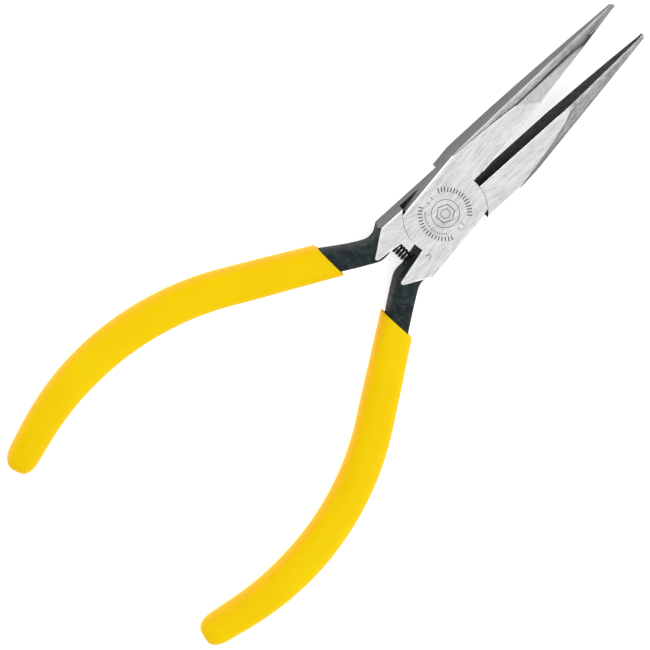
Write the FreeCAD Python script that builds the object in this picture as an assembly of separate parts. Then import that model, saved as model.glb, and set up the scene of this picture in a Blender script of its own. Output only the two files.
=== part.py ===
"""Slim needle nose pliers with a lap joint, an opening spring and dipped grips.

Units are millimetres. The origin is on the pivot axis, at the ground back face of the joint.
+Z points out of the front face, +Y runs towards the jaw tips and +X is to the right of the
front view. The tool is drawn with its jaws held open by the spring.

Both halves are the same forging, one of them turned over, then dressed by hand. A half is
drawn in its own frame: jaw on the -X side, handle on the +X side, its lap plate in the upper
layer, jaws closed.
"""

import FreeCAD, Part
import math
import os

from FreeCAD import Placement, Rotation, Vector

X_AXIS = Vector(1, 0, 0)
Y_AXIS = Vector(0, 1, 0)
Z_AXIS = Vector(0, 0, 1)

# Joint
THICKNESS = 7.8             # over the two ground faces
JOINT_WIDTH = 12.25
SHOULDER_RADIUS = 8.17      # round shoulders that the lap plates turn in
SHOULDER_CLEARANCE = 0.08
LAP_CLEARANCE = 0.06        # between the two plates
OPEN_ANGLE = 8.7            # between the jaw faces when the spring holds them open
CRISP_EDGE = 0.25           # rounding of the ground faces' edges
ROLLED_EDGE = 0.55          # rounding of the lap plate's edge beside the handle
MIDDLE = THICKNESS / 2

# Rivet, headed flush in both faces
RIVET_RADIUS = 2.5
RIVET_HEAD_RADIUS = 3.3
RIVET_HEAD_DEPTH = 0.9
RIVET_RUNNING_CLEARANCE = 0.04

# Jaws
TIP_Y = 50.3
PARTING_X = 0.5             # the jaw faces meet this far to the right of the pivot
JAW_FACE_GAP = 0.06         # left between the faces when the jaws are closed
NOSE_TIP_RADIUS = 0.85
NOSE_SLOPE = 0.163          # radius gained per millimetre away from the tip
NOSE_CHAMFER = 0.4
NOSE_SIDE_EDGE = 0.12       # rounding between the flat side and the cone
# Each half's nose is dressed by hand. side_share: its flat outer side, as a share of the cone's
# radius. tilt: degrees that the cone leans. turned: faces that the cone rounds, of 1 (upper)
# and -1 (lower). sloped: faces that are ground to a slope
FRONT_NOSE = {"side_share": 0.877, "tilt": 0.0, "turned": (1,), "sloped": (1, -1)}
REAR_NOSE = {"side_share": 0.95, "tilt": 0.4, "turned": (1, -1), "sloped": (1,)}
SLOPE_START_INNER = 27.7    # where a sloped face begins at the jaw face
SLOPE_START_OUTER = 23.7    # and SLOPE_OUTER_X out from it
SLOPE_OUTER_X = 3.5
SLOPE_RUN = 15.05           # square to its start, to the tip
SLOPE_DROP = 2.95           # over that run
SLOPE_CROWN = 0.18          # how far it swells over the straight line
JAW_INNER_EDGE = 0.15       # rounding of the jaw face's long edges
THROAT_RELIEF = 0.33        # how far the jaw face steps back at its root
THROAT_RELIEF_END = 10.0
THROAT_RAMP_END = 11.1
TEETH_START = 28.1
TEETH_PITCH = 0.5
TEETH_DEPTH = 0.13
TEETH_COUNT = 43

# Cheek: the ground block below the joint
CHEEK_INNER_X = 1.1
CHEEK_OUTLINE = [(1.87, -15.3), (2.5, -15.75), (JOINT_WIDTH / 2, -10.75)]
CHEEK_CORNER = 0.35

# Neck stations, from inside the cheek to the grip's mouth: x, y on the inner side,
# x, y on the outer side, thickness, and how much slimmer the rear half is on its outer side
NECK = [
    (1.3, -9.9, 6.3, -9.9, 7.0, 0.0),
    (1.15, -11.4, 6.15, -11.1, 7.0, 0.0),
    (1.1, -13.0, 5.5, -12.4, 7.0, 0.15),
    (1.05, -14.7, 5.6, -13.8, 7.0, 0.45),
    (1.95, -16.95, 6.4, -15.5, 6.8, 0.55),
    (3.3, -19.55, 7.5, -17.6, 6.5, 0.4),
]
NECK_SQUARENESS = 5.0
FRONT_TRIM = 0.0            # shares of the slimmer rear neck
REAR_TRIM = 1.0
MARK_RADIUS = 1.2           # plain round forging mark on the neck
MARK_HEIGHT = 0.2
MARK_STATION = (5.9, -19.35)
MARK_NECK_THICKNESS = 6.45

# Handle line, from the grip's mouth: straight, a long bow inwards, a short straight end
MOUTH_X = 7.36
MOUTH_Y = -22.1
MOUTH_SLOPE = -3.3          # the dip line, in degrees from square to the tool
HANDLE_HEADING = 28.0
HANDLE_STRAIGHT = 20.45
HANDLE_BOW_RADIUS = 56.4
HANDLE_BOW_ANGLE = 47.0
HANDLE_END = 8.1

# Tang stations inside the grip: distance along the handle line, width, thickness
TANG = [(0.0, 4.7, 6.1), (12.0, 4.65, 5.9), (26.0, 4.55, 5.8), (41.5, 4.35, 5.6),
        (57.5, 4.05, 5.2), (69.0, 3.65, 4.8)]
TANG_SQUARENESS = 4.0

# Grip stations: distance along the handle line, width, thickness
GRIP = [(-4.5, 6.65, 7.4), (4.0, 6.85, 7.55), (14.0, 7.1, 7.7), (26.7, 7.2, 7.7),
        (39.5, 7.2, 7.7), (51.4, 7.05, 7.7), (60.3, 6.65, 7.6), (68.2, 6.2, 7.35)]
GRIP_SQUARENESS = 2.7
GRIP_END_LENGTH = 3.6       # length of the rounded end
GRIP_END_STEPS = 5
GRIP_END_WIDTH = 6.05
GRIP_END_THICKNESS = 7.1
GRIP_END_TURN = 84.0        # degrees that the end's outline turns through
GRIP_END_ROUNDING = 0.62    # share of the width that the rounded end takes off

# Opening spring, in a blind pocket in each half
SPRING_Y = -11.05
SPRING_LENGTH = 7.4
SPRING_RADIUS = 0.92        # to the middle of the wire
SPRING_WIRE_RADIUS = 0.24
SPRING_PITCH = 0.7
POCKET_RADIUS = 1.5
POCKET_DEPTH_X = 3.75       # from the middle of the tool to a pocket's floor

SECTION_POINTS = 16
SPARE = 1.0                 # how far a cutter runs past what it cuts
SMALL = 0.001


def extruded(points, bottom, top):
    """A prism on a closed outline of (x, y) points."""
    corners = [Vector(x, y, bottom) for x, y in points]
    face = Part.Face(Part.makePolygon(corners + corners[:1]))
    return face.extrude(Vector(0, 0, top - bottom))


def disc(radius, bottom, top):
    """A cylinder on the pivot axis."""
    return Part.makeCylinder(radius, top - bottom, Vector(0, 0, bottom))


def section(x, y, heading, width, thickness, squareness):
    """A rounded closed section square to the handle line at one point of it."""
    turn = math.radians(heading)
    across = Vector(math.cos(turn), math.sin(turn), 0)
    points = []
    for step in range(SECTION_POINTS):
        angle = 2 * math.pi * step / SECTION_POINTS
        out = math.copysign(abs(math.cos(angle)) ** (2 / squareness), math.cos(angle))
        up = math.copysign(abs(math.sin(angle)) ** (2 / squareness), math.sin(angle))
        points.append(Vector(x, y, MIDDLE) + across * (out * width / 2)
                      + Z_AXIS * (up * thickness / 2))
    curve = Part.BSplineCurve()
    curve.interpolate(Points=points, PeriodicFlag=True)
    return Part.Wire(curve.toShape())


def handle_point(distance):
    """x, y and heading of the handle line at a distance from the grip's mouth."""
    start = math.radians(HANDLE_HEADING)
    straight = min(distance, HANDLE_STRAIGHT)
    x = MOUTH_X + straight * math.sin(start)
    y = MOUTH_Y - straight * math.cos(start)
    bow = min(max(distance - HANDLE_STRAIGHT, 0), HANDLE_BOW_RADIUS * math.radians(HANDLE_BOW_ANGLE))
    heading = start - bow / HANDLE_BOW_RADIUS
    x += HANDLE_BOW_RADIUS * (math.cos(heading) - math.cos(start))
    y -= HANDLE_BOW_RADIUS * (math.sin(start) - math.sin(heading))
    rest = max(distance - HANDLE_STRAIGHT - bow, 0) if bow else 0
    return x + rest * math.sin(heading), y - rest * math.cos(heading), math.degrees(heading)


def handle_section(distance, width, thickness, squareness):
    x, y, heading = handle_point(distance)
    return section(x, y, heading, width, thickness, squareness)


def handle_length():
    return HANDLE_STRAIGHT + HANDLE_BOW_RADIUS * math.radians(HANDLE_BOW_ANGLE) + HANDLE_END


def envelope():
    """The joint's bar stock: its long edges are crisp but for the lap plate's, beside the handle."""
    low = CHEEK_OUTLINE[1][1] - SPARE
    bar = Part.makeBox(JOINT_WIDTH, TIP_Y - low, THICKNESS, Vector(-JOINT_WIDTH / 2, low, 0))
    long_edges = [edge for edge in bar.Edges if edge.BoundBox.YLength > TIP_Y]
    rolled = [edge for edge in long_edges if edge.CenterOfMass.x > 0 and edge.CenterOfMass.z > MIDDLE]
    bar = bar.makeFillet(ROLLED_EDGE, rolled)
    crisp = [edge for edge in bar.Edges if edge.BoundBox.YLength > TIP_Y
             and edge.BoundBox.XLength < SMALL and edge.BoundBox.ZLength < SMALL
             and (edge.CenterOfMass.x < 0 or edge.CenterOfMass.z < SMALL)]
    return bar.makeFillet(CRISP_EDGE, crisp)


def nose_cone(face_x, tilt):
    """The turned nose: a slim cone from the tip back, about the middle of the closed jaws."""
    base = NOSE_TIP_RADIUS + NOSE_SLOPE * (TIP_Y + SPARE)
    chamfer_y = TIP_Y - NOSE_CHAMFER
    chamfer_radius = NOSE_TIP_RADIUS + NOSE_SLOPE * NOSE_CHAMFER
    profile = [(0, -SPARE), (base, -SPARE), (chamfer_radius, chamfer_y),
               (chamfer_radius / 2, TIP_Y), (0, TIP_Y)]
    corners = [Vector(face_x + radius, y, MIDDLE) for radius, y in profile]
    face = Part.Face(Part.makePolygon(corners + corners[:1]))
    cone = face.revolve(Vector(face_x, 0, MIDDLE), Y_AXIS, 360)
    cone.rotate(Vector(face_x, TIP_Y, MIDDLE), X_AXIS, -tilt)
    return cone


def nose_side(face_x, share):
    """What the nose keeps inside its flat outer side."""
    tip_x = face_x - share * NOSE_TIP_RADIUS
    root_x = face_x - share * (NOSE_TIP_RADIUS + NOSE_SLOPE * TIP_Y)
    outline = [(face_x, 0), (face_x, TIP_Y), (tip_x, TIP_Y), (root_x, 0)]
    return extruded(outline, 0, THICKNESS)


def slope_cut(face_x, side):
    """What is ground off one face of the nose: a slightly swelling slope down to the tip."""
    inner = Vector(face_x, SLOPE_START_INNER, THICKNESS)
    outer = Vector(face_x - SLOPE_OUTER_X, SLOPE_START_OUTER, THICKNESS)
    along = (outer - inner).normalize()
    ahead = along.cross(Z_AXIS)
    if ahead.y < 0:
        ahead = ahead * -1
    start = inner - along * 2 * JOINT_WIDTH
    middle = start + ahead * (SLOPE_RUN / 2) + Z_AXIS * (SLOPE_CROWN - SLOPE_DROP / 2)
    end = start + ahead * SLOPE_RUN - Z_AXIS * SLOPE_DROP
    past_end = end + (end - middle).normalize() * SLOPE_RUN
    over_end = Vector(past_end.x, past_end.y, THICKNESS + SPARE)
    over_start = start + Z_AXIS * SPARE
    edges = [Part.Arc(start, middle, end).toShape()]
    edges += [Part.makeLine(*ends) for ends in ((end, past_end), (past_end, over_end),
                                                (over_end, over_start), (over_start, start))]
    block = Part.Face(Part.Wire(edges)).extrude(along * 3 * JOINT_WIDTH)
    if side < 0:
        block = block.mirror(Vector(0, 0, MIDDLE), Z_AXIS)
    return block


def throat_cut(face_x):
    """The step back at the jaw face's root, in the upper layer only."""
    step_x = face_x - THROAT_RELIEF
    clear_x = face_x + SPARE
    outline = [(clear_x, 0), (step_x, 0), (step_x, THROAT_RELIEF_END), (face_x, THROAT_RAMP_END),
               (clear_x, THROAT_RAMP_END)]
    return extruded(outline, MIDDLE, THICKNESS + SPARE)


def teeth_cut(face_x):
    """Cross grooves in the outer part of the jaw face."""
    points = [(face_x + SPARE, TEETH_START)]
    for tooth in range(TEETH_COUNT):
        y = TEETH_START + tooth * TEETH_PITCH
        points += [(face_x, y), (face_x - TEETH_DEPTH, y + TEETH_PITCH / 2)]
    end = TEETH_START + TEETH_COUNT * TEETH_PITCH
    points += [(face_x, end), (face_x + SPARE, end)]
    return extruded(points, -SPARE, THICKNESS + SPARE)


def jaw(face_x, nose):
    """The jaw at full thickness, from the pivot's level to its tip."""
    left = -JOINT_WIDTH / 2
    turned = nose_cone(face_x, nose["tilt"])
    if -1 not in nose["turned"]:
        below = Part.makeBox(JOINT_WIDTH, TIP_Y - NOSE_CHAMFER, MIDDLE, Vector(left, 0, 0))
        turned = turned.fuse(below)
    block = extruded([(left, 0), (face_x, 0), (face_x, TIP_Y), (left, TIP_Y)], 0, THICKNESS)
    block = block.common(turned).common(nose_side(face_x, nose["side_share"]))
    for side in nose["sloped"]:
        block = block.cut(slope_cut(face_x, side))
    side_edges = [edge for edge in block.Edges
                  if edge.BoundBox.YLength > TIP_Y / 2 and edge.BoundBox.XLength > SPARE
                  and edge.BoundBox.ZLength > SPARE]
    block = block.makeFillet(NOSE_SIDE_EDGE, side_edges)
    inner_edges = [edge for edge in block.Edges
                   if abs(edge.CenterOfMass.x - face_x) < SMALL and edge.BoundBox.XLength < SMALL
                   and edge.BoundBox.YLength > SPARE]
    block = block.makeFillet(JAW_INNER_EDGE, inner_edges)
    return block.cut(throat_cut(face_x)).cut(teeth_cut(face_x))


def cheek():
    """The ground block between the joint and the neck, at full thickness."""
    outline = [(JOINT_WIDTH / 2, 0), (CHEEK_INNER_X, 0), (CHEEK_INNER_X, -SHOULDER_RADIUS)]
    block = extruded(outline + CHEEK_OUTLINE, 0, THICKNESS)
    corners = [edge for edge in block.Edges
               if edge.BoundBox.ZLength > MIDDLE and edge.CenterOfMass.y < CHEEK_OUTLINE[0][1] + SMALL]
    block = block.makeFillet(CHEEK_CORNER, corners)
    rims = [edge for edge in block.Edges
            if edge.BoundBox.ZLength < SMALL and edge.CenterOfMass.y < -SHOULDER_RADIUS / 3
            and edge.CenterOfMass.x < JOINT_WIDTH / 2 - SMALL]
    return block.makeFillet(CRISP_EDGE, rims)


def lap_plate():
    """The upper half-thickness plate that turns between the other half's shoulders."""
    floor = MIDDLE + LAP_CLEARANCE / 2
    strip = Part.makeBox(JOINT_WIDTH, 2 * SHOULDER_RADIUS, THICKNESS,
                         Vector(-JOINT_WIDTH / 2, -SHOULDER_RADIUS, 0))
    return disc(SHOULDER_RADIUS - SHOULDER_CLEARANCE / 2, floor, THICKNESS).common(strip)


def neck_section(inner_x, inner_y, outer_x, outer_y, thickness, trim):
    """A section of the neck between two points on its sides, trimmed on the outer side."""
    inner = Vector(inner_x, inner_y, 0)
    outer = Vector(outer_x, outer_y, 0)
    outer = outer - (outer - inner).normalize() * trim
    middle = (inner + outer) / 2
    heading = math.degrees(math.atan2(outer.y - inner.y, outer.x - inner.x))
    return section(middle.x, middle.y, heading, (outer - inner).Length, thickness, NECK_SQUARENESS)


def shank(trim_share):
    """The forged neck, ground flush with the cheek, and the tapered tang in the grip."""
    stations = [neck_section(*station[:5], station[5] * trim_share) for station in NECK]
    stations += [handle_section(*station, TANG_SQUARENESS) for station in TANG]
    ground_off = Part.makeBox(JOINT_WIDTH, MIDDLE, THICKNESS,
                              Vector(JOINT_WIDTH / 2, CHEEK_OUTLINE[2][1] - MIDDLE / 2, 0))
    return Part.makeLoft(stations, True, False).cut(ground_off)


def forging_mark():
    """A plain raised disc on the front and back of the neck."""
    x, y = MARK_STATION
    height = MARK_NECK_THICKNESS + 2 * MARK_HEIGHT
    return Part.makeCylinder(MARK_RADIUS, height, Vector(x, y, MIDDLE - height / 2))


def rivet(extra=0.0):
    """The rivet, or with extra radius the hole it sits in."""
    shaft = RIVET_RADIUS + extra
    head = RIVET_HEAD_RADIUS + extra
    profile = [(0, 0), (head, 0), (shaft, RIVET_HEAD_DEPTH), (shaft, THICKNESS - RIVET_HEAD_DEPTH),
               (head, THICKNESS), (0, THICKNESS)]
    corners = [Vector(radius, 0, z) for radius, z in profile]
    face = Part.Face(Part.makePolygon(corners + corners[:1]))
    return face.revolve(Vector(0, 0, 0), Z_AXIS, 360)


def half(face_x, nose, trim_share, bore_clearance):
    """One forged half in its own frame, with its jaw face at face_x."""
    body = jaw(face_x, nose).fuse(cheek())
    notch = disc(SHOULDER_RADIUS + SHOULDER_CLEARANCE / 2, -SPARE, MIDDLE + LAP_CLEARANCE / 2)
    body = body.cut(notch).fuse(lap_plate()).common(envelope())
    body = body.fuse([shank(trim_share), forging_mark()]).removeSplitter()
    return body.cut(rivet(bore_clearance))


def grip(trim_share):
    """The dipped sleeve: a rounded skin over the tang, closed at its end."""
    stations = [handle_section(*station, GRIP_SQUARENESS) for station in GRIP]
    start = handle_length() - GRIP_END_LENGTH
    for step in range(GRIP_END_STEPS):
        turn = math.radians(GRIP_END_TURN * step / (GRIP_END_STEPS - 1))
        inset = 1 - (1 - math.cos(turn)) * GRIP_END_ROUNDING
        stations.append(handle_section(start + GRIP_END_LENGTH * math.sin(turn),
                                       GRIP_END_WIDTH * inset, GRIP_END_THICKNESS * inset,
                                       GRIP_SQUARENESS))
    skin = Part.makeLoft(stations, True, False)
    size = 4 * THICKNESS
    above = Part.makeBox(size, size, size, Vector(-size / 2, 0, -size / 2))
    above.Placement = Placement(Vector(MOUTH_X, MOUTH_Y, MIDDLE), Rotation(Z_AXIS, MOUTH_SLOPE))
    return skin.cut(above).cut(shank(trim_share))


def spring():
    """The coil spring, lying across the tool between the two pockets."""
    path = Part.makeHelix(SPRING_PITCH, SPRING_LENGTH - 2 * SPRING_WIRE_RADIUS, SPRING_RADIUS)
    wire = Part.Wire(Part.makeCircle(SPRING_WIRE_RADIUS, Vector(SPRING_RADIUS, 0, 0), Y_AXIS))
    coil = Part.Wire(path).makePipeShell([wire], True, True)
    centring = Vector(-SPRING_LENGTH / 2 + SPRING_WIRE_RADIUS, SPRING_Y, MIDDLE)
    coil.Placement = Placement(centring, Rotation(Y_AXIS, 90))
    return coil


def front_pose(shape):
    """Moves a piece of the front half from its own frame to the open tool."""
    posed = shape.copy()
    posed.rotate(Vector(0, 0, 0), Z_AXIS, OPEN_ANGLE / 2)
    return posed


def rear_pose(shape):
    """Turns a piece over for the rear half and puts it in the open tool."""
    posed = shape.copy()
    posed.rotate(Vector(0, 0, MIDDLE), Y_AXIS, 180)
    posed.rotate(Vector(0, 0, 0), Z_AXIS, -OPEN_ANGLE / 2)
    return posed


def pockets():
    """The spring's two blind holes, as one cutter across the open tool."""
    return Part.makeCylinder(POCKET_RADIUS, 2 * POCKET_DEPTH_X,
                             Vector(-POCKET_DEPTH_X, SPRING_Y, MIDDLE), X_AXIS)


def main():
    os.makedirs("parts", exist_ok=True)
    face_inset = JAW_FACE_GAP / 2
    pieces = {
        "front_half": front_pose(half(PARTING_X - face_inset, FRONT_NOSE, FRONT_TRIM,
                                      RIVET_RUNNING_CLEARANCE)).cut(pockets()),
        "rear_half": rear_pose(half(-PARTING_X - face_inset, REAR_NOSE, REAR_TRIM, 0.0)).cut(pockets()),
        "pivot_rivet": rivet(),
        "opening_spring": spring(),
        "front_grip": front_pose(grip(FRONT_TRIM)),
        "rear_grip": rear_pose(grip(REAR_TRIM)),
    }
    for name, shape in pieces.items():
        solid = shape.Solids[0] if len(shape.Solids) == 1 else shape
        print(name, "solids", len(shape.Solids), "valid", shape.isValid(), "volume", round(shape.Volume, 2))
        solid.exportStep("parts/" + name + ".step")


main()
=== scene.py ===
"""Looks of the slim needle nose pliers: ground and blackened halves, dipped grips, spring, studio.

Lengths called MM or named in millimetres are the tool's own; everything placed is in metres.
Each half is described in its own frame: jaws closed, jaw on the -X side, handle on the +X side.
"""

import math

import bmesh
import bpy
from mathutils import Matrix, Vector, noise


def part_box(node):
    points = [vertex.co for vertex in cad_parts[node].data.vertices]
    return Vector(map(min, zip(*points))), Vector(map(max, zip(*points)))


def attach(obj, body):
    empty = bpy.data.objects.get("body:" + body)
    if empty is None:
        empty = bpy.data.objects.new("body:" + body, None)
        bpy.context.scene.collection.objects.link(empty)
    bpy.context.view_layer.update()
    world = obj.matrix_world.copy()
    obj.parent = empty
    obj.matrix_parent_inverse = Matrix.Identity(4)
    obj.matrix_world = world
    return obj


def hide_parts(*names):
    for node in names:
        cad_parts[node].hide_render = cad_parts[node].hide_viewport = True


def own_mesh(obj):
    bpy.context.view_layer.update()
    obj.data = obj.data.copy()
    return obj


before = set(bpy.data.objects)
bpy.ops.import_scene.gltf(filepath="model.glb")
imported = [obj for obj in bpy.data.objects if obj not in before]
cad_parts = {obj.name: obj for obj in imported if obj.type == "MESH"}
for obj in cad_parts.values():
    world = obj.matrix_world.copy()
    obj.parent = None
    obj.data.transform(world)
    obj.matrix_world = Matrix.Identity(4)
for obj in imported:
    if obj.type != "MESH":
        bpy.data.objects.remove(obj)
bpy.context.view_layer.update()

MM = 0.001
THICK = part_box("front_half")[1].z
MID = THICK / 2
THICK_MM = THICK / MM
MID_MM = MID / MM
HALF_OPEN = math.radians(8.7 / 2)       # each half is turned this far from closed
FACE_X = {"front": 0.47, "rear": -0.53}     # the jaw face in a half's own frame

# A half's sizes in millimetres, as the model has them
WALL_X = 6.125
ROLLED_EDGE = 0.55
CRISP_EDGE = 0.25
NOSE_TIP_RADIUS = 0.85
NOSE_SLOPE = 0.163
TIP_Y = 50.3
TEETH_Y = 28.1
JOINT_RADIUS = 8.17
CONE_TILT = {"front": 0.0, "rear": math.radians(0.4)}   # the nose's cone leans this far
SIDE_SHARE = {"front": 0.877, "rear": 0.95}     # its flat side, as a share of the cone's radius
SLOPE_START_Y = 27.7            # a sloping flat begins here at the jaw face
SLOPE_AHEAD = (-0.7526, 0.6585) # and falls away in this direction
SLOPE_RATE = 0.1482             # at this rate, and
SLOPE_BEND = 0.00318            # this much more with the square of the distance
NECK_RISE = 3.55                # the neck stays nearer to the middle plane than this
MARK_AT = (5.9, -19.35)         # plain round forging mark on the neck
MARK_TOP = 3.425                # over the middle plane

# The handle line, from the grip's mouth, in millimetres
MOUTH = (7.36, -22.1)
MOUTH_SLOPE = math.radians(-3.3)
HEADING = math.radians(28.0)
STRAIGHT = 20.45
BOW_RADIUS = 56.4
BOW_ANGLE = math.radians(47.0)
END_RUN = 8.1
# Stations: distance along the handle line, width, thickness
GRIP = [(-4.5, 6.65, 7.4), (4.0, 6.85, 7.55), (14.0, 7.1, 7.7), (26.7, 7.2, 7.7),
        (39.5, 7.2, 7.7), (51.4, 7.05, 7.7), (60.3, 6.65, 7.6), (68.2, 6.2, 7.35), (71.2, 6.02, 7.1)]
TANG = [(-4.5, 4.45, 6.5), (0.0, 4.8, 6.2), (12.0, 4.75, 6.0), (26.0, 4.65, 5.9), (41.5, 4.45, 5.7),
        (57.5, 4.15, 5.3), (69.0, 3.75, 4.9)]

SPRING_Y = -11.05
SPRING_LENGTH = 7.4
SPRING_RADIUS = 0.92
SPRING_WIRE = 0.24
SPRING_PITCH = 0.7
SPRING_TAPER = 0.12             # how much its front end draws in over the last turn


# ---------------------------------------------------------------- helpers

def own_to_row(side):
    """From a half's own frame to the row frame. side: front or rear."""
    if side == "front":
        return Matrix.Rotation(HALF_OPEN, 4, "Z")
    centre = Matrix.Translation((0, 0, MID))
    over = centre @ Matrix.Rotation(math.pi, 4, "Y") @ centre.inverted()
    return Matrix.Rotation(-HALF_OPEN, 4, "Z") @ over


def new_object(name, data):
    obj = bpy.data.objects.new(name, data)
    bpy.context.scene.collection.objects.link(obj)
    return obj


def mesh_from(name, verts, faces):
    mesh = bpy.data.meshes.new(name)
    mesh.from_pydata([tuple(v) for v in verts], [], faces)
    mesh.validate()
    for polygon in mesh.polygons:
        polygon.use_smooth = True
    return new_object(name, mesh)


def outward(obj):
    """Turns every face of a closed mesh outwards."""
    bm = bmesh.new()
    bm.from_mesh(obj.data)
    bmesh.ops.recalc_face_normals(bm, faces=bm.faces)
    bm.to_mesh(obj.data)
    bm.free()


def apply_modifiers(obj):
    bpy.context.view_layer.update()
    done = bpy.data.meshes.new_from_object(obj.evaluated_get(bpy.context.evaluated_depsgraph_get()))
    obj.modifiers.clear()
    obj.data = done


def rings_mesh(name, rings):
    """A closed skin over rings of points, with one more point in the middle of each end."""
    count = len(rings[0])
    verts = [v for ring in rings for v in ring]
    faces = []
    for row in range(len(rings) - 1):
        for i in range(count):
            j = (i + 1) % count
            faces.append((row * count + i, row * count + j,
                          (row + 1) * count + j, (row + 1) * count + i))
    for ring, first in ((rings[0], 0), (rings[-1], (len(rings) - 1) * count)):
        verts.append(sum((Vector(v) for v in ring), Vector()) / count)
        faces += [(first + i, first + (i + 1) % count, len(verts) - 1) for i in range(count)]
    obj = mesh_from(name, verts, faces)
    outward(obj)
    return obj


class Nodes:
    """A short way to write a node tree."""

    def __init__(self, name):
        self.material = bpy.data.materials.new(name)
        self.material.use_nodes = True
        self.tree = self.material.node_tree
        self.tree.nodes.clear()
        self.out = self.tree.nodes.new("ShaderNodeOutputMaterial")
        self.shader = self.tree.nodes.new("ShaderNodeBsdfPrincipled")
        self.tree.links.new(self.shader.outputs[0], self.out.inputs["Surface"])

    def put(self, socket, value):
        if isinstance(value, bpy.types.NodeSocket):
            self.tree.links.new(value, socket)
        else:
            socket.default_value = value

    def math(self, operation, a, b=0.0):
        node = self.tree.nodes.new("ShaderNodeMath")
        node.operation = operation
        self.put(node.inputs[0], a)
        self.put(node.inputs[1], b)
        return node.outputs[0]

    def band(self, value, low, high, out_low=0.0, out_high=1.0):
        node = self.tree.nodes.new("ShaderNodeMapRange")
        node.interpolation_type = "SMOOTHSTEP"
        self.put(node.inputs["Value"], value)
        node.inputs["From Min"].default_value = low
        node.inputs["From Max"].default_value = high
        node.inputs["To Min"].default_value = out_low
        node.inputs["To Max"].default_value = out_high
        return node.outputs["Result"]

    def mix(self, factor, a, b):
        node = self.tree.nodes.new("ShaderNodeMix")
        node.data_type = "RGBA"
        self.put(node.inputs["Factor"], factor)
        self.put(node.inputs["A"], a)
        self.put(node.inputs["B"], b)
        return node.outputs["Result"]

    def coords(self, scale=(1, 1, 1), turn=0.0):
        """Object coordinates, turned about Z and scaled."""
        source = self.tree.nodes.new("ShaderNodeTexCoord")
        spin = self.tree.nodes.new("ShaderNodeMapping")
        spin.inputs["Rotation"].default_value = (0, 0, turn)
        self.tree.links.new(source.outputs["Object"], spin.inputs["Vector"])
        stretch = self.tree.nodes.new("ShaderNodeMapping")
        stretch.inputs["Scale"].default_value = scale
        self.tree.links.new(spin.outputs[0], stretch.inputs["Vector"])
        return stretch.outputs[0]

    def split(self, vector):
        node = self.tree.nodes.new("ShaderNodeSeparateXYZ")
        self.put(node.inputs[0], vector)
        return node.outputs

    def noise(self, vector, scale, detail=3.0, roughness=0.55):
        node = self.tree.nodes.new("ShaderNodeTexNoise")
        self.put(node.inputs["Vector"], vector)
        node.inputs["Scale"].default_value = scale
        node.inputs["Detail"].default_value = detail
        node.inputs["Roughness"].default_value = roughness
        return node.outputs["Fac"]

    def bump(self, height, strength, distance):
        node = self.tree.nodes.new("ShaderNodeBump")
        node.inputs["Strength"].default_value = strength
        node.inputs["Distance"].default_value = distance
        self.put(node.inputs["Height"], height)
        self.put(self.shader.inputs["Normal"], node.outputs[0])

    def set(self, **values):
        for name, value in values.items():
            self.put(self.shader.inputs[name.replace("_", " ")], value)


def grey(value, warm=0.0):
    return (value + warm, value, value - warm, 1.0)


# ---------------------------------------------------------------- materials

def turn_to_own(side):
    return -HALF_OPEN if side == "front" else HALF_OPEN


class NosePlace:
    """Sockets that say where on a half's nose a point is, in millimetres."""

    def __init__(self, n, side):
        x, y, z = n.split(n.coords((1 / MM, 1 / MM, 1 / MM), turn_to_own(side)))
        face = FACE_X["front"] if side == "front" else -FACE_X["rear"]
        self.out = n.math("ABSOLUTE", n.math("SUBTRACT", x, face))
        self.up = n.math("SUBTRACT", z, MID_MM)
        self.back = n.math("SUBTRACT", TIP_Y, y)
        self.radius = n.math("ADD", n.math("MULTIPLY", self.back, NOSE_SLOPE), NOSE_TIP_RADIUS)
        reach = n.math("SQRT", n.math("ADD", n.math("MULTIPLY", self.out, self.out),
                                      n.math("MULTIPLY", self.up, self.up)))
        self.inside = n.math("SUBTRACT", self.radius, reach)
        self.beside = n.math("SUBTRACT", n.math("MULTIPLY", self.radius, SIDE_SHARE[side]), self.out)
        run = n.math("ADD", n.math("MULTIPLY", self.out, -SLOPE_AHEAD[0]),
                     n.math("MULTIPLY", n.math("SUBTRACT", y, SLOPE_START_Y), SLOPE_AHEAD[1]))
        run = n.math("MAXIMUM", run, 0.0)
        drop = n.math("MULTIPLY", run, n.math("ADD", n.math("MULTIPLY", run, SLOPE_BEND), SLOPE_RATE))
        if side == "rear":
            drop = n.math("MULTIPLY", drop, n.math("LESS_THAN", self.up, 0.0))
        self.below = n.math("SUBTRACT", n.math("SUBTRACT", MID_MM, drop), n.math("ABSOLUTE", self.up))


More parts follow.
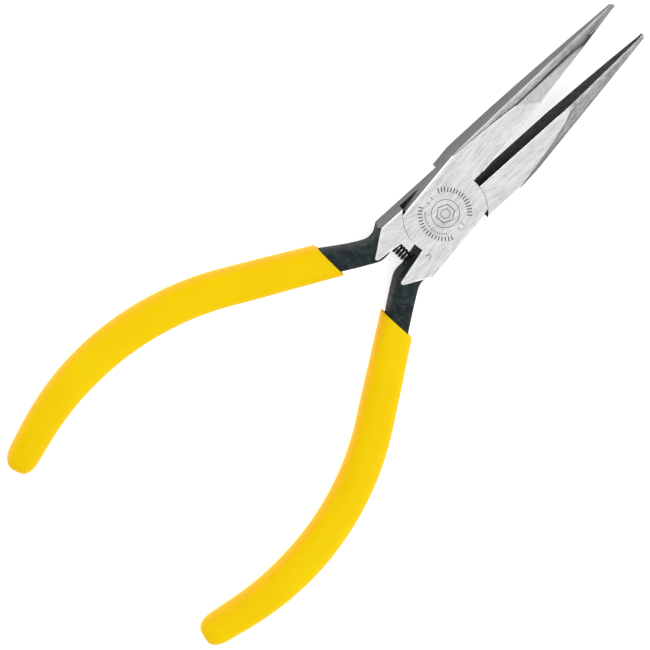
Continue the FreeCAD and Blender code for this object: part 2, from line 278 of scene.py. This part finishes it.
def ground_steel(name, side, light, dark, rim):
    """Steel ground with a belt: lines along the tool, a few set askew, slight clouding, and a painted
    highlight in the rim colour along the face's edge at the nose.
    """
    smoothest, roughest, askew_share = 0.3, 0.45, 0.25
    n = Nodes(name)
    turn = turn_to_own(side)
    place = NosePlace(n, side)
    fine = n.noise(n.coords((1, 0.1, 1), turn), 5200.0, 3.0, 0.6)
    broad = n.noise(n.coords((1, 0.07, 1), turn), 1700.0, 3.0)
    askew = n.noise(n.coords((1, 0.06, 1), turn + math.radians(24)), 3600.0, 2.0)
    cloud = n.noise(n.coords(turn=turn), 180.0, 2.0)
    lines = n.math("ADD", n.math("MULTIPLY", fine, 0.6), n.math("MULTIPLY", broad, 0.4))
    lines = n.math("ADD", n.math("MULTIPLY", lines, 1 - askew_share),
                   n.math("MULTIPLY", askew, askew_share))
    tone = n.math("ADD", n.band(lines, 0.36, 0.62),
                  n.math("MULTIPLY", n.math("SUBTRACT", cloud, 0.5), 0.6))
    # painted highlight: the face turns to the rim colour near its edge with the nose's cone
    rim_highlight = n.math("MULTIPLY", n.band(place.inside, 0.02, 0.16, 1.0, 0.0),
                    n.math("LESS_THAN", place.back, TIP_Y - JOINT_RADIUS))
    n.set(Base_Color=n.mix(rim_highlight, n.mix(tone, dark, light), rim), Metallic=1.0,
          Roughness=n.band(lines, 0.3, 0.7, roughest, smoothest))
    n.bump(lines, 0.3, 0.00002)
    return n.material


def ground_lines(n, turn, fine_scale=5200.0):
    """Streaks along the tool."""
    fine = n.noise(n.coords((1, 0.06, 1), turn), fine_scale, 3.0, 0.6)
    broad = n.noise(n.coords((1, 0.05, 1), turn), 1700.0)
    return n.math("ADD", n.math("MULTIPLY", fine, 0.6), n.math("MULTIPLY", broad, 0.4))


def sloped_steel(name, side):
    """The jaws' sloping flats: fine grit, darker towards the tip, and a painted dark line along the cone that
    stands in for a dark reflection.
    """
    n = Nodes(name)
    place = NosePlace(n, side)
    grit = n.noise(n.coords(), 6500.0, 2.0, 0.7)
    streak = ground_lines(n, turn_to_own(side), 2600.0)
    speck = n.math("ADD", grit, n.math("MULTIPLY", n.math("SUBTRACT", streak, 0.5), 0.6))
    light = n.mix(n.band(place.back, 2.0, 20.0), grey(0.34), grey(0.55))
    dark = n.mix(n.band(place.back, 2.0, 20.0), grey(0.17), grey(0.36))
    steel = n.mix(n.band(speck, 0.38, 0.6), dark, light)
    # painted dark line: grey(0.07) where the flat meets the cone, a dark reflection painted in
    n.set(Base_Color=n.mix(n.band(place.inside, 0.03, 0.1), grey(0.07), steel), Metallic=1.0,
          Roughness=n.band(grit, 0.35, 0.65, 0.52, 0.4))
    n.bump(speck, 0.3, 0.00003)
    return n.material


def nose_steel(name, side, bright, light, dark, rough, rounded=False):
    """The nose's side and cone: ground steel, a painted highlight line where they meet, and a painted dark
    line on top that stands in for a dark reflection.
    """
    n = Nodes(name)
    place = NosePlace(n, side)
    away = n.math("MAXIMUM", place.inside, n.math("MULTIPLY", place.beside, 0.7))
    lines = ground_lines(n, turn_to_own(side))
    steel = n.mix(n.band(lines, 0.38, 0.6), dark, light)
    # painted shade: the rear nose darkens where its cone turns away towards the outline, and further back
    if rounded and side == "rear":
        painted_shade = n.band(n.math("DIVIDE", place.out, place.radius), 0.45, 0.92, 0.0, 0.72)
        painted_shade = n.math("ADD", painted_shade, n.band(place.back, 20.0, 32.0, 0.0, 0.22))
        steel = n.mix(painted_shade, steel, grey(0.04))
    # painted highlight: a bright line where the flat side meets the cone, faded near the tip and far back
    wear_and_highlight = n.math("MULTIPLY", n.band(away, 0.04, 0.15, 1.0, 0.0),
                    n.band(place.back, 8.0, 24.0, 0.12, 1.0))
    wear_and_highlight = n.math("MULTIPLY", wear_and_highlight, n.band(place.back, 34.0, 42.0, 1.0, 0.0))
    # painted dark line along the flat's edge on the cone, standing in for a dark reflection
    painted_dark_line = n.math("MULTIPLY", n.band(place.below, 0.08, 0.27, 1.0, 0.0),
                  n.band(place.back, 5.0, 18.0, 0.25, 1.0))
    # the painted highlight lies only on the front half's upper side; the rear half gets a weaker one
    if side == "front":
        wear_and_highlight = n.math("MULTIPLY", wear_and_highlight, n.math("GREATER_THAN", place.up, 0.0))
    else:
        wear_and_highlight = n.math("MULTIPLY", wear_and_highlight, 0.2)
        painted_dark_line = n.math("MULTIPLY", painted_dark_line, n.band(place.radius, MID_MM + 0.05, MID_MM + 0.6, 0.0, 0.5))
    with_highlight = n.mix(wear_and_highlight, steel, bright)
    n.set(Base_Color=n.mix(painted_dark_line, with_highlight, grey(0.07)), Metallic=1.0,
          Roughness=n.band(lines, 0.3, 0.7, rough[1], rough[0]))
    n.bump(lines, 0.3, 0.00002)
    return n.material


def edge_highlight_steel(name):
    """Edge roundings in far brighter steel than the faces: a painted highlight, with small nicks."""
    n = Nodes(name)
    nick = n.noise(n.coords(), 2400.0, 3.0, 0.6)
    # painted highlight: the rounding's steel is brighter than the faces it joins
    n.set(Base_Color=n.mix(n.band(nick, 0.3, 0.5), grey(0.6), grey(0.92)), Metallic=1.0,
          Roughness=n.band(nick, 0.3, 0.6, 0.36, 0.22))
    n.bump(nick, 0.15, 0.00003)
    return n.material


def black_oxide(name, base=0.024, worn=0.13, pits=0.8):
    """Blackened forging skin: matt, faintly mottled and pitted, with a few specks worn bright."""
    n = Nodes(name)
    mottle = n.noise(n.coords(), 700.0, 5.0, 0.6)
    grain = n.noise(n.coords(), 3600.0, 3.0)
    skin = n.mix(n.band(mottle, 0.35, 0.65), (base * 0.55, base * 0.85, base * 0.9, 1),
                 (base, base * 1.5, base * 1.6, 1))
    # wear: a few specks rubbed bright on the skin
    wear_and_highlight = n.math("MULTIPLY", n.band(grain, 0.58, 0.68), n.band(mottle, 0.45, 0.6))
    n.set(Base_Color=n.mix(wear_and_highlight, skin, (worn, worn * 1.15, worn * 1.15, 1)),
          Roughness=n.band(mottle, 0.3, 0.7, 0.72, 0.6))
    n.shader.inputs["Specular IOR Level"].default_value = 0.15
    n.bump(n.math("ADD", mottle, n.math("MULTIPLY", grain, 0.5)), pits, 0.00006)
    return n.material


def vinyl(name):
    """Dipped vinyl: satin yellow, a soft orange peel, and painted shade: deeper orange down its sides, where
    the section turns away.
    """
    n = Nodes(name)
    cloud = n.noise(n.coords(), 90.0, 2.0)
    peel = n.noise(n.coords(), 800.0, 2.0)
    height = n.split(n.coords())["Z"]
    # painted shade: orange on the flanks near the middle plane, yellow on top and underneath
    side = n.band(n.math("ABSOLUTE", n.math("SUBTRACT", height, MID)), MID * 0.35, MID * 0.95)
    crown = n.mix(n.band(cloud, 0.35, 0.65), (0.97, 0.65, 0.0, 1), (0.99, 0.69, 0.0, 1))
    n.set(Base_Color=n.mix(side, (0.93, 0.52, 0.0, 1), crown),
          Roughness=n.band(peel, 0.3, 0.7, 0.5, 0.42))
    n.shader.inputs["Specular IOR Level"].default_value = 0.06
    n.shader.inputs["Subsurface Weight"].default_value = 0.12
    n.shader.inputs["Subsurface Radius"].default_value = (1.0, 0.55, 0.05)
    n.shader.inputs["Subsurface Scale"].default_value = 0.0006
    n.bump(peel, 0.12, 0.00004)
    return n.material


# ---------------------------------------------------------------- halves

# A half's material slots, in the order that half_materials gives them
FACE, TIP, EDGE, WALL, NOSE, JAW, BLACK, ETCHED = range(8)

# How finish_of tells a half's faces apart: lengths in millimetres, shares of a unit normal
NEAR = 0.02                     # a face this close to the ground faces' level lies in them
WALL_NEAR = 0.05
ROUNDING_NEAR = 0.01
TILTED = 0.02                   # a normal that leans at least this much
FACE_UPRIGHT = 0.998
WALL_SIDEWAYS = 0.99
NOSE_WALL_SIDEWAYS = 0.98
JAW_SIDEWAYS = 0.3
TOOTH_REACH = 0.4               # a tooth's flank is looked for this far behind the jaw face,
TEETH_END = 0.45                # no nearer to the tip than this,
TOOTH_ALONG = 0.3               # and it faces along the tool at least this much
JAW_ROUNDING = 0.17             # the rounding of the jaw face's long edges, with room
NOSE_END = 0.5                  # the nose's blunt end, with room
CONE_SLACK, CONE_AGREES = 0.16, 0.9
SLOPE_SLACK, SLOPE_AGREES = 0.06, 0.985


def half_materials(side):
    return [
        # the face's last grey is the rim colour of its painted edge highlight
        ground_steel(side + "_face", side, grey(0.56), grey(0.42), grey(0.66)),
        sloped_steel(side + "_tip", side),
        edge_highlight_steel(side + "_edge"),
        # painted shade: the side walls are a far darker copy of the faces' ground steel; grey(0.4) colours a
        # painted highlight line
        nose_steel(side + "_wall", side, grey(0.4), grey(0.115), grey(0.085), (0.4, 0.5)),
        # grey(0.6) is the painted highlight line's colour; rounded turns on the rear's painted shade
        nose_steel(side + "_nose", side, grey(0.6), grey(0.5), grey(0.26), (0.34, 0.5), rounded=True),
        black_oxide(side + "_jaw_face", 0.011, 0.018, pits=0.2),
        black_oxide(side + "_black"),
        black_oxide(side + "_etched", 0.06, 0.09, pits=0.3),
    ]


def cone_axis(side):
    """The nose's axis in a half's own frame, pointing back from the tip."""
    return Vector((0, -math.cos(CONE_TILT[side]), math.sin(CONE_TILT[side])))


def from_axis(point, side):
    """How far back along the nose's axis a point is, and the vector out to it."""
    from_tip = point - Vector((FACE_X[side], TIP_Y, MID_MM))
    along = from_tip.dot(cone_axis(side))
    return along, from_tip - cone_axis(side) * along


def on_cone(centre, normal, side):
    """Whether a face, by its centre and normal in a half's own frame, is part of the turned cone."""
    along, outward_line = from_axis(centre, side)
    off = abs(outward_line.length - NOSE_TIP_RADIUS - NOSE_SLOPE * along)
    return off < CONE_SLACK and normal.dot(outward_line.normalized()) > CONE_AGREES


def slope_run(point, side):
    """How far (mm) a point in a half's own frame is past the start of a sloping flat."""
    return (point.x - FACE_X[side]) * SLOPE_AHEAD[0] + (point.y - SLOPE_START_Y) * SLOPE_AHEAD[1]


def true_normal(point, finish, side):
    """The nose's exact outward normal, in a half's own frame."""
    if finish == NOSE:
        outward_line = from_axis(point, side)[1]
        return (outward_line.normalized() - cone_axis(side) * NOSE_SLOPE).normalized()
    steepness = SLOPE_RATE + 2 * SLOPE_BEND * max(slope_run(point, side), 0)
    up = 1 if point.z > MID_MM else -1
    return Vector((SLOPE_AHEAD[0] * steepness, SLOPE_AHEAD[1] * steepness, up)).normalized()


def on_slope(centre, normal, side):
    """Whether a face is part of a sloping flat. The rear half's lower side has none."""
    run = slope_run(centre, side)
    if run < 0 or (side == "rear" and centre.z < MID_MM):
        return False
    off = abs(centre.z - MID_MM) - MID_MM + run * (SLOPE_RATE + SLOPE_BEND * run)
    return abs(off) < SLOPE_SLACK and normal.dot(true_normal(centre, TIP, side)) > SLOPE_AGREES


def finish_of(centre, normal, side):
    """The finish of one face of a half, from its centre (mm) and normal in the half's own frame."""
    face_x = FACE_X[side]
    rise = abs(centre.z - MID_MM)
    level = abs(normal.z)
    if level > FACE_UPRIGHT and rise > MID_MM - NEAR:
        return FACE
    if centre.y < JOINT_RADIUS and abs(normal.x) > WALL_SIDEWAYS and abs(centre.x) > WALL_X - WALL_NEAR:
        return WALL
    if centre.y < -JOINT_RADIUS / 2 and rise < NECK_RISE:
        return BLACK
    if centre.y < JOINT_RADIUS:
        rolled = centre.x > WALL_X - ROLLED_EDGE - ROUNDING_NEAR and centre.z > MID_MM
        if rolled and level > TILTED and normal.x > TILTED:
            return FACE
        return EDGE if rise > MID_MM - CRISP_EDGE - ROUNDING_NEAR and level > TILTED else BLACK
    toothed = TEETH_Y < centre.y < TIP_Y - TEETH_END and centre.x > face_x - TOOTH_REACH
    if toothed and abs(normal.y) > TOOTH_ALONG:
        return JAW
    if (centre.x > face_x - JAW_ROUNDING and 0.05 < level < 0.99
            and abs(normal.y) < 0.5 and normal.x > 0.05):
        return EDGE
    if normal.x > JAW_SIDEWAYS:
        return JAW
    if centre.y > TIP_Y - NOSE_END:
        return NOSE
    if normal.x < -NOSE_WALL_SIDEWAYS:
        return WALL
    if on_slope(centre, normal, side):
        return TIP
    return NOSE if on_cone(centre, normal, side) else EDGE


def bar(points_out, z_low, z_high, points_in=None):
    """Vertices and faces of an upright prism, or of a closed band between two outlines."""
    count = len(points_out)
    outlines = [points_out] if points_in is None else [points_out, points_in]
    verts = [(x, y, z) for outline in outlines for z in (z_low, z_high) for x, y in outline]
    faces = []
    for base in range(0, len(verts), 2 * count):
        for i in range(count):
            j = (i + 1) % count
            faces.append((base + i, base + j, base + count + j, base + count + i))
    if points_in is None:
        faces += [tuple(range(count)), tuple(range(count, 2 * count))]
    else:
        for level in (0, count):
            for i in range(count):
                j = (i + 1) % count
                faces.append((level + i, level + j, 2 * count + level + j, 2 * count + level + i))
    return verts, faces


def circle(radius, count=96, centre=(0.0, 0.0)):
    return [(centre[0] + radius * math.cos(2 * math.pi * i / count),
             centre[1] + radius * math.sin(2 * math.pi * i / count)) for i in range(count)]


def stroke(start, end, width):
    """The outline of a straight stroke."""
    a, b = Vector(start), Vector(end)
    side = (b - a).normalized().orthogonal() * width / 2
    return [tuple(a + side), tuple(b + side), tuple(b - side), tuple(a - side)]


def radial(angle, near, far, width):
    direction = Vector((math.cos(angle), math.sin(angle)))
    return stroke(direction * near, direction * far, width)


MARK_DEPTH = 0.06
MARK_LOW, MARK_HIGH = THICK_MM - MARK_DEPTH, THICK_MM + 0.3
NUT_RINGS = ((2.75, 2.65, 96), (1.9, 1.74, 6), (0.95, 0.83, 48))    # radius outside, inside, corners
# Rows of ticks: first angle and step in degrees, how many, inner and outer radius, width
TICK_ROWS = ((35, 7.5, 16, 4.15, 5.1, 0.2), (205, 7.5, 17, 4.45, 5.3, 0.2), (215, 6.6, 16, 3.7, 4.1, 0.13))
PAIR_ANGLES = (0, 180)          # degrees; a pair of ticks lies each way
PAIR_SPREAD = 8                 # degrees to one side of it
PAIR_TICK = (3.65, 4.3, 0.13)   # inner and outer radius, width
CHEVRON_X = 2.82                # the line between its two arms
CHEVRON_ARM = ((0.13, -7.75), (0.5, -8.6))
CHEVRON_WIDTH = 0.14


def nut_mark():
    """A hexagon and rings, cut into the rivet's head."""
    return [bar(circle(outer, corners), MARK_LOW, MARK_HIGH, circle(inner, corners))
            for outer, inner, corners in NUT_RINGS]


def dial_mark():
    """Rows of short plain ticks round the rivet, and a chevron on the cheek."""
    outlines = []
    for first, step, count, near, far, width in TICK_ROWS:
        for i in range(count):
            outlines.append(radial(math.radians(first + i * step), near, far, width))
    for angle in PAIR_ANGLES:
        for spread in (-PAIR_SPREAD, PAIR_SPREAD):
            outlines.append(radial(math.radians(angle + spread), *PAIR_TICK))
    for side in (-1, 1):
        start, end = [(CHEVRON_X + x * side, y) for x, y in CHEVRON_ARM]
        outlines.append(stroke(start, end, CHEVRON_WIDTH))
    return [bar(outline, MARK_LOW, MARK_HIGH) for outline in outlines]


def neck_rings():
    """A ring sunk in each of the two plain forging marks."""
    depth, outer, inner = 0.12, 0.82, 0.6
    parts = []
    for side in (-1, 1):
        top = MID_MM + side * MARK_TOP
        low, high = sorted((top - side * depth, top + side * 0.3))
        parts.append(bar(circle(outer, 48, MARK_AT), low, high, circle(inner, 48, MARK_AT)))
    return parts


def cutter(name, parts, to_row, finish):
    verts, faces = [], []
    for part_verts, part_faces in parts:
        faces += [tuple(i + len(verts) for i in face) for face in part_faces]
        verts += [to_row @ (Vector(v) * MM) for v in part_verts]
    obj = mesh_from(name, verts, faces)
    outward(obj)
    for polygon in obj.data.polygons:
        polygon.material_index = finish
    return obj


def engrave(obj, tool):
    cut = obj.modifiers.new("engrave", "BOOLEAN")
    cut.operation = "DIFFERENCE"
    cut.solver = "EXACT"
    cut.object = tool
    apply_modifiers(obj)
    bpy.data.objects.remove(tool)


def crisp(obj):
    """Sharp edges by angle, and normals that keep the large flat faces flat."""
    for polygon in obj.data.polygons:
        polygon.use_smooth = True
    obj.data.set_sharp_from_angle(angle=math.radians(25))
    weighted = obj.modifiers.new("normals", "WEIGHTED_NORMAL")
    weighted.mode = "FACE_AREA"
    weighted.weight = 100
    weighted.keep_sharp = True
    apply_modifiers(obj)


def smooth_nose(obj, side):
    """Gives the nose's cone and sloping flats their exact normals."""
    mesh = obj.data
    to_row = own_to_row(side)
    to_own = to_row.inverted()
    turn = to_row.to_3x3()
    normals = [Vector(corner.vector) for corner in mesh.corner_normals]
    for polygon in mesh.polygons:
        centre = to_own @ polygon.center / MM
        if polygon.material_index not in (NOSE, TIP) or not JOINT_RADIUS < centre.y < TIP_Y - NOSE_END:
            continue
        for loop in polygon.loop_indices:
            point = to_own @ mesh.vertices[mesh.loops[loop].vertex_index].co / MM
            normals[loop] = turn @ true_normal(point, polygon.material_index, side)
    mesh.normals_split_custom_set(normals)


def finished_half(side):
    """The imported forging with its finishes, its marks cut in, and crisp ground faces."""
    node = side + "_half"
    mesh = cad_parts[node].data.copy()
    for name in ("custom_normal", "sharp_edge", "sharp_face"):
        if name in mesh.attributes:
            mesh.attributes.remove(mesh.attributes[name])
    bm = bmesh.new()
    bm.from_mesh(mesh)
    bmesh.ops.remove_doubles(bm, verts=bm.verts, dist=1e-6)
    bm.to_mesh(mesh)
    bm.free()
    obj = new_object(side + "_half_finished", mesh)
    mesh.materials.clear()
    for material in half_materials(side):
        mesh.materials.append(material)
    to_row = own_to_row(side)
    to_own = to_row.inverted()
    for polygon in mesh.polygons:
        polygon.material_index = finish_of(to_own @ polygon.center / MM,
                                           to_own.to_3x3() @ polygon.normal, side)
    engrave(obj, cutter("neck_tool", neck_rings(), to_row, BLACK))
    if side == "front":
        engrave(obj, cutter("dial_tool", dial_mark(), to_row, ETCHED))
    crisp(obj)
    smooth_nose(obj, side)
    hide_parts(node)
    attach(obj, side)
    return obj


# ---------------------------------------------------------------- rivet

def rivet(front_face, rear_face, etched):
    """The rivet, its heads ground off flush together with the halves."""
    front_head, rear_head, shaft, depth, rim = 3.335, 3.3, 2.5, 0.9, 0.015
    profile = [(rear_head - rim, 0), (rear_head, rim), (shaft, depth), (shaft, THICK_MM - depth),
               (front_head, THICK_MM - rim), (front_head - rim, THICK_MM)]
    rings = [[Vector((x, y, z)) * MM for x, y in circle(radius)] for radius, z in profile]
    obj = rings_mesh("ground_rivet", rings)
    for material in (front_face, rear_face, etched):
        obj.data.materials.append(material)
    for polygon in obj.data.polygons:
        polygon.material_index = 0 if polygon.center.z > MID else 1
    engrave(obj, cutter("nut_tool", nut_mark(), Matrix.Rotation(HALF_OPEN, 4, "Z"), 2))
    crisp(obj)
    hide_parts("pivot_rivet")
    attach(obj, "rear")


# ---------------------------------------------------------------- grips

def handle_point(distance):
    """Place and heading on the handle line at a distance (mm) from the grip's mouth."""
    straight = min(distance, STRAIGHT)
    bow = min(max(distance - STRAIGHT, 0), BOW_RADIUS * BOW_ANGLE)
    rest = max(distance - STRAIGHT - BOW_RADIUS * BOW_ANGLE, 0)
    heading = HEADING - bow / BOW_RADIUS
    x = MOUTH[0] + straight * math.sin(HEADING) + rest * math.sin(heading)
    y = MOUTH[1] - straight * math.cos(HEADING) - rest * math.cos(heading)
    x += BOW_RADIUS * (math.cos(heading) - math.cos(HEADING))
    y -= BOW_RADIUS * (math.sin(HEADING) - math.sin(heading))
    return x, y, heading


def station(stations, distance):
    """Width and thickness at a distance, on a smooth curve through the stations."""
    distance = min(max(distance, stations[0][0]), stations[-1][0])
    k = max(i for i in range(len(stations) - 1) if stations[i][0] <= distance)
    here, there = stations[k], stations[k + 1]
    before, after = stations[max(k - 1, 0)], stations[min(k + 2, len(stations) - 1)]
    span = there[0] - here[0]
    t = (distance - here[0]) / span
    sizes = []
    for axis in (1, 2):
        slope_in = (there[axis] - before[axis]) / (there[0] - before[0]) * span
        slope_out = (after[axis] - here[axis]) / (after[0] - here[0]) * span
        sizes.append((2 * t ** 3 - 3 * t ** 2 + 1) * here[axis] + (t ** 3 - 2 * t ** 2 + t) * slope_in
                     + (3 * t ** 2 - 2 * t ** 3) * there[axis] + (t ** 3 - t ** 2) * slope_out)
    return sizes


GRIP_POINTS = 64
GRIP_SQUARENESS = 2.7
TANG_SQUARENESS = 4.0
LIP_FADE = 14.0                 # the lip's slant has died away this far down the grip


def unit_section(squareness):
    """Points of a rounded square, spaced about evenly, as shares of half its width and thickness."""
    points = []
    for i in range(GRIP_POINTS):
        angle = 2 * math.pi * i / GRIP_POINTS
        reach = (abs(math.cos(angle)) ** squareness + abs(math.sin(angle)) ** squareness) ** (-1 / squareness)
        points.append((reach * math.cos(angle), reach * math.sin(angle)))
    return points


def lip_start(across):
    """How far along the handle line the slanting mouth lies, at a distance across it."""
    mouth_normal = Vector((-math.sin(MOUTH_SLOPE), math.cos(MOUTH_SLOPE)))
    return -across * (Vector((math.cos(HEADING), math.sin(HEADING))) @ mouth_normal) / (
        Vector((math.sin(HEADING), -math.cos(HEADING))) @ mouth_normal)


def sleeve_ring(to_row, distance, blend=0.0, shrink=1.0, uneven=0.0):
    """One ring of the sleeve. blend: 0 on the outer skin, 1 on the skin round the tang."""
    ring = []
    for outer, inner in zip(unit_section(GRIP_SQUARENESS), unit_section(TANG_SQUARENESS)):
        width, thick = station(GRIP, distance)
        tang_width, tang_thick = station(TANG, distance)
        across = ((1 - blend) * outer[0] * width * shrink + blend * inner[0] * tang_width) / 2
        up = ((1 - blend) * outer[1] * thick * shrink + blend * inner[1] * tang_thick) / 2
        fade = max(0.0, 1 - distance / LIP_FADE)
        along = distance + lip_start(across) * fade * fade * (3 - 2 * fade)
        x, y, heading = handle_point(along)
        point = Vector((x + across * math.cos(heading), y + across * math.sin(heading), MID_MM + up))
        dent = uneven * (0.5 + 0.5 * noise.noise(point * 0.22) + 0.25 * noise.noise(point * 0.6))
        toward = Vector((x, y, MID_MM)) - point
        ring.append(to_row @ ((point + toward.normalized() * dent) * MM))
    return ring


def grip(side):
    """The dipped sleeve: rounded lip at the mouth, hollow over the tang, rounded closed end."""
    to_row = own_to_row(side)
    length = STRAIGHT + BOW_RADIUS * BOW_ANGLE + END_RUN
    end_length, end_steps, end_rounding = 3.6, 12, 0.62
    inner_start, inner_spacing, inner_rings = 68.5, 1.5, 46
    unevenness = 0.05
    rings = []
    for step in range(inner_rings):
        rings.append(sleeve_ring(to_row, inner_start - step * inner_spacing, 1.0))
    lip = ((0.6, 1.0), (0.25, 1.0), (0.1, 0.96), (0.03, 0.85), (0.0, 0.6), (0.0, 0.4), (0.04, 0.2),
           (0.13, 0.08), (0.28, 0.02), (0.5, 0.0))
    for distance, blend in lip:
        rings.append(sleeve_ring(to_row, distance, blend))
    body_end = length - end_length
    body_steps = 62
    lip_end = lip[-1][0]
    for step in range(1, body_steps + 1):
        distance = lip_end + (body_end - lip_end) * step / body_steps
        rings.append(sleeve_ring(to_row, distance, uneven=unevenness * min(1.0, distance / 3)))
    for step in range(1, end_steps + 1):
        turn = math.radians(88) * step / end_steps
        shrink = 1 - (1 - math.cos(turn)) * end_rounding
        rings.append(sleeve_ring(to_row, body_end + end_length * math.sin(turn), shrink=shrink,
                                 uneven=unevenness))
    obj = rings_mesh(side + "_dipped_grip", rings)
    obj.data.materials.append(vinyl(side + "_vinyl"))
    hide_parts(side + "_grip")
    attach(obj, side)


# ---------------------------------------------------------------- spring

def spring():
    """The coil spring: open turns in the middle, one closed turn at each end, the front one drawn in."""
    closed = 2 * SPRING_WIRE + 0.02
    run = SPRING_LENGTH - 2 * SPRING_WIRE
    turns = 2 + (run - 2 * closed) / SPRING_PITCH
    per_turn, around = 32, 12
    rings = []
    steps = int(turns * per_turn)
    for step in range(steps + 1):
        turn = turns * step / steps
        travel = closed * min(turn, 1) + SPRING_PITCH * max(0, min(turn, turns - 1) - 1)
        travel += closed * max(0, turn - turns + 1)
        angle = 2 * math.pi * turn
        out = Vector((0, math.cos(angle), math.sin(angle)))
        radius = SPRING_RADIUS - SPRING_TAPER * min(1.0, max(0.0, turn - turns + 1.3))
        centre = Vector((travel - run / 2, SPRING_Y, MID_MM)) + out * radius
        rings.append([(centre + out * SPRING_WIRE * math.cos(2 * math.pi * i / around)
                       + Vector((SPRING_WIRE * math.sin(2 * math.pi * i / around), 0, 0))) * MM
                      for i in range(around)])
    obj = rings_mesh("coil_spring", rings)
    n = Nodes("spring_wire_black")
    scale = n.noise(n.coords(), 1500.0, 3.0)
    n.set(Base_Color=n.mix(n.band(scale, 0.35, 0.7), grey(0.01), grey(0.05)), Metallic=0.7,
          Roughness=n.band(scale, 0.3, 0.7, 0.4, 0.28))
    n.bump(scale, 0.2, 0.00002)
    obj.data.materials.append(n.material)
    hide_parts("opening_spring")
    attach(obj, "rear")
    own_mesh(obj)


# ---------------------------------------------------------------- stage

def stage():
    reach, height = 3.0, -0.00002
    floor = mesh_from("floor", [(-reach, -reach, height), (reach, -reach, height), (reach, reach, height),
                                (-reach, reach, height)], [(0, 1, 2, 3)])
    n = Nodes("floor_paper")
    n.set(Base_Color=grey(0.92), Roughness=0.95, Emission_Color=grey(1.0), Emission_Strength=0.62)
    n.shader.inputs["Specular IOR Level"].default_value = 0.1
    floor.data.materials.append(n.material)


def softbox(name, location, size, radiance):
    """A rectangular lamp that looks at the joint. radiance is its brightness as it is seen."""
    light = bpy.data.lights.new(name, "AREA")
    light.shape = "RECTANGLE"
    light.size, light.size_y = size
    light.energy = radiance * math.pi * size[0] * size[1]
    obj = new_object(name, light)
    obj.location = location
    obj.rotation_euler = (-Vector(location)).to_track_quat("-Z", "Y").to_euler()


def lights():
    world = bpy.data.worlds.new("studio")
    bpy.context.scene.world = world
    world.use_nodes = True
    background = world.node_tree.nodes["Background"]
    background.inputs["Color"].default_value = (1, 1, 1, 1)
    background.inputs["Strength"].default_value = 0.55
    softbox("overhead", (0.25, 0.15, 1.0), (1.1, 1.3), 1.05)
    softbox("left_strip", (-0.8, 0.0, 0.45), (0.12, 1.2), 3.0)
    softbox("right_strip", (0.9, 0.0, 0.35), (0.12, 1.2), 3.0)
    bpy.context.scene.view_settings.view_transform = "Standard"


# ---------------------------------------------------------------- camera

CAMERA_LEAN = math.radians(15.0)        # off the joint's normal, towards the tool's left side
CAMERA_RISE = math.radians(0.5)
CAMERA_ROLL = math.radians(43.85)       # the tool lies this far from upright in the view
CAMERA_DISTANCE = 0.5926
CAMERA_LENS = 174.3
AIM = Vector((-0.00085, -0.03107, MID))


def camera():
    data = bpy.data.cameras.new("camera")
    data.lens = CAMERA_LENS
    data.sensor_width = 36.0
    data.clip_start = 0.01
    obj = new_object("camera", data)
    back = Vector((-math.sin(CAMERA_LEAN), math.sin(CAMERA_RISE), math.cos(CAMERA_LEAN))).normalized()
    obj.location = Vector((0, 0, THICK)) + back * CAMERA_DISTANCE
    right = Vector((math.cos(CAMERA_LEAN), 0, math.sin(CAMERA_LEAN)))
    up = back.cross(right)
    up = up * math.cos(CAMERA_ROLL) - right * math.sin(CAMERA_ROLL)
    towards = (obj.location - AIM).normalized()
    across = up.cross(towards).normalized()
    upright = towards.cross(across)
    turn = Matrix((across, upright, towards)).transposed()
    obj.rotation_euler = turn.to_euler()
    bpy.context.scene.camera = obj


rear = finished_half("rear")
front = finished_half("front")
rivet(front.data.materials[FACE], rear.data.materials[FACE], front.data.materials[ETCHED])
grip("rear")
grip("front")
spring()
stage()
lights()
camera()
